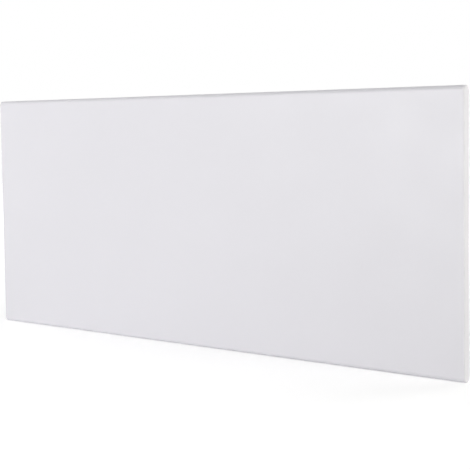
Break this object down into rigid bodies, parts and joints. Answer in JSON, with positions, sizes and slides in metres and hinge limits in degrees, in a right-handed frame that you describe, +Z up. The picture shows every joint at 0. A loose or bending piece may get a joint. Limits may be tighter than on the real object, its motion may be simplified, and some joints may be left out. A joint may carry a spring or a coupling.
{
  "type": "wall convector heater",
  "caption": "Slim white wall convector: a plain rounded front panel over a shallow casing with grilles, finned element, top controls and a hook-on wall bracket.",
  "frame": {"origin": "centre of the four wall screws, on the wall plane", "axes": "+X to the viewer's right along the panel, +Y into the wall, +Z up; the front faces -Y"},
  "size_m": [1.02, 0.084, 0.4],
  "materials": {
    "panel_paint": "white semi-matt powder coat",
    "casing_paint": "white semi-matt powder coat",
    "zinc_steel": "zinc-plated steel sheet",
    "grille_plastic": "white heat-resistant moulding",
    "shield_aluminium": "rolled aluminium sheet",
    "fin_aluminium": "extruded aluminium",
    "tube_steel": "stainless sheath, dulled by heat",
    "ceramic": "glazed ceramic",
    "dark_plastic": "black phenolic moulding",
    "white_plastic": "fine-textured white moulding",
    "rocker_plastic": "glossy white moulding",
    "brass": "bright brass",
    "lamp_lens": "clear red moulding",
    "copper": "drawn copper",
    "block_plastic": "natural nylon moulding",
    "brown_insulation": "silicone insulation",
    "blue_insulation": "silicone insulation",
    "green_insulation": "silicone insulation",
    "inlet_rubber": "white soft moulding",
    "screw_steel": "zinc-plated steel",
    "spring_steel": "blued spring steel"
  },
  "bodies": {
    "wall_bracket": {"left_upright": "zinc_steel", "right_upright": "zinc_steel", "upper_crossbar": "zinc_steel", "lower_crossbar": "zinc_steel", "bracket_rivets": "screw_steel", "bracket_springs": "spring_steel", "spring_rivets": "screw_steel"},
    "heater": {"front_panel": "panel_paint", "panel_stiffeners": "zinc_steel", "rear_casing": "casing_paint", "left_pan": "casing_paint", "right_pan": "casing_paint", "divider": "zinc_steel", "outlet_grille": "grille_plastic", "inlet_grille": "grille_plastic", "heat_shield": "shield_aluminium", "element_tube": "tube_steel", "element_fins": "fin_aluminium", "element_bushes": "ceramic", "element_seals": "ceramic", "element_pins": "zinc_steel", "element_hanger": "zinc_steel", "overheat_cutout": "dark_plastic", "control_bezel": "white_plastic", "thermostat": "dark_plastic", "thermostat_nut": "brass", "indicator_lamp": "lamp_lens", "switch_housing": "white_plastic", "sensor_bulb": "copper", "capillary_tube": "copper", "sensor_clips": "zinc_steel", "terminal_block": "block_plastic", "terminal_screws": "brass", "live_lead": "brown_insulation", "switch_lead": "brown_insulation", "thermostat_lead": "brown_insulation", "element_lead": "brown_insulation", "neutral_lead": "blue_insulation", "earth_lead": "green_insulation", "earth_lug": "brass", "cable_inlet": "inlet_rubber", "panel_screws": "screw_steel", "casing_screws": "screw_steel", "cutout_screws": "screw_steel", "earth_screw": "screw_steel"},
    "knob": {"thermostat_shaft": "brass", "thermostat_knob": "white_plastic"},
    "rocker": {"switch_rocker": "rocker_plastic"}
  },
  "joints": [
    {"name": "lift", "type": "slide", "parent": "wall_bracket", "child": "heater", "axis": [0, 0, 1], "range_m": [0, 0.01]},
    {"name": "knob_turn", "type": "hinge", "parent": "heater", "child": "knob", "pos_m": [0.3785, -0.04685, 0.178], "axis": [0, 0, -1], "range_deg": [0, 270]},
    {"name": "rocker_tilt", "type": "hinge", "parent": "heater", "child": "rocker", "pos_m": [0.415, -0.04685, 0.1772], "axis": [1, 0, 0], "range_deg": [0, 20]}
  ]
}
